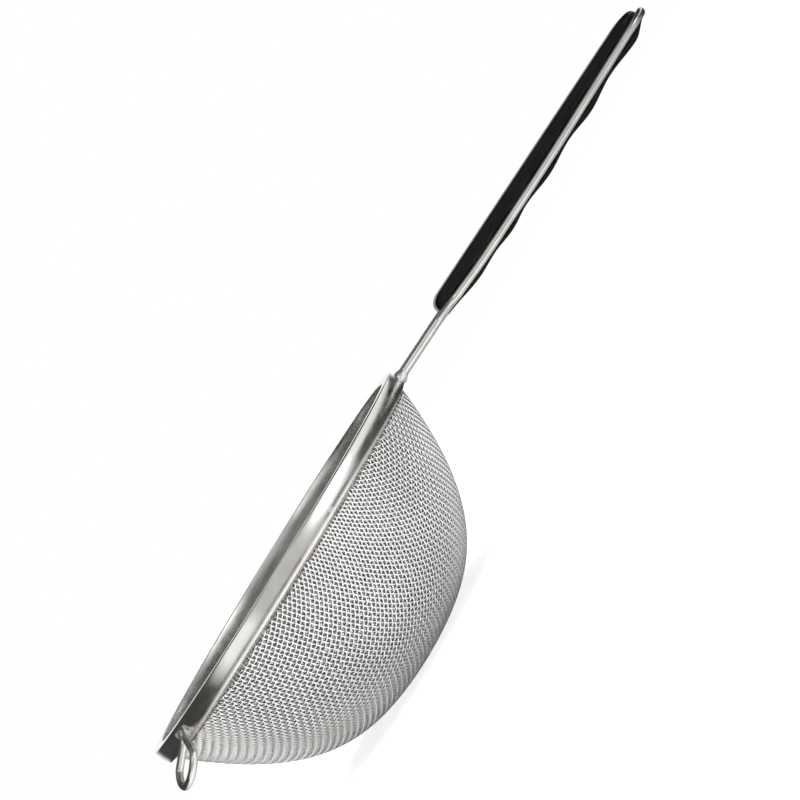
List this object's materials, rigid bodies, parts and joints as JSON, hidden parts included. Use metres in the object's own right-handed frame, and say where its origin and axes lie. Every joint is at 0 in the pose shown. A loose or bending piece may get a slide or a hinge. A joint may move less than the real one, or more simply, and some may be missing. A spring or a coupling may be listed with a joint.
{
  "type": "round-bottomed wire strainer",
  "caption": "Kitchen strainer with a round-bottomed double wire-mesh bowl in a channel rim, a wire rest hook, and a long wire handle set in a moulded grip with finger waves.",
  "frame": {"origin": "middle of the mouth, in the plane of the rim's top face", "axes": "+Z out of the mouth, +X from the middle of the mouth towards the handle, +Y completes the right-handed frame, and the rest hook is on the -X, -Y side"},
  "size_m": [0.4129, 0.203, 0.0822],
  "materials": {
    "polished_steel": "polished stainless steel of the rim band and the wire parts",
    "mesh_steel": "bright drawn stainless wire",
    "inner_steel": "satin stainless sheet",
    "grip_plastic": "black moulded plastic, semi-gloss"
  },
  "bodies": {
    "root": {"rim_band": "polished_steel", "mesh_clamp_ring": "inner_steel", "fine_mesh": "mesh_steel", "coarse_mesh_warp": "mesh_steel", "coarse_mesh_weft": "mesh_steel", "handle_wire": "polished_steel", "handle_welds": "polished_steel", "grip": "grip_plastic", "rest_hook": "polished_steel", "hook_welds": "inner_steel"}
  },
  "joints": []
}
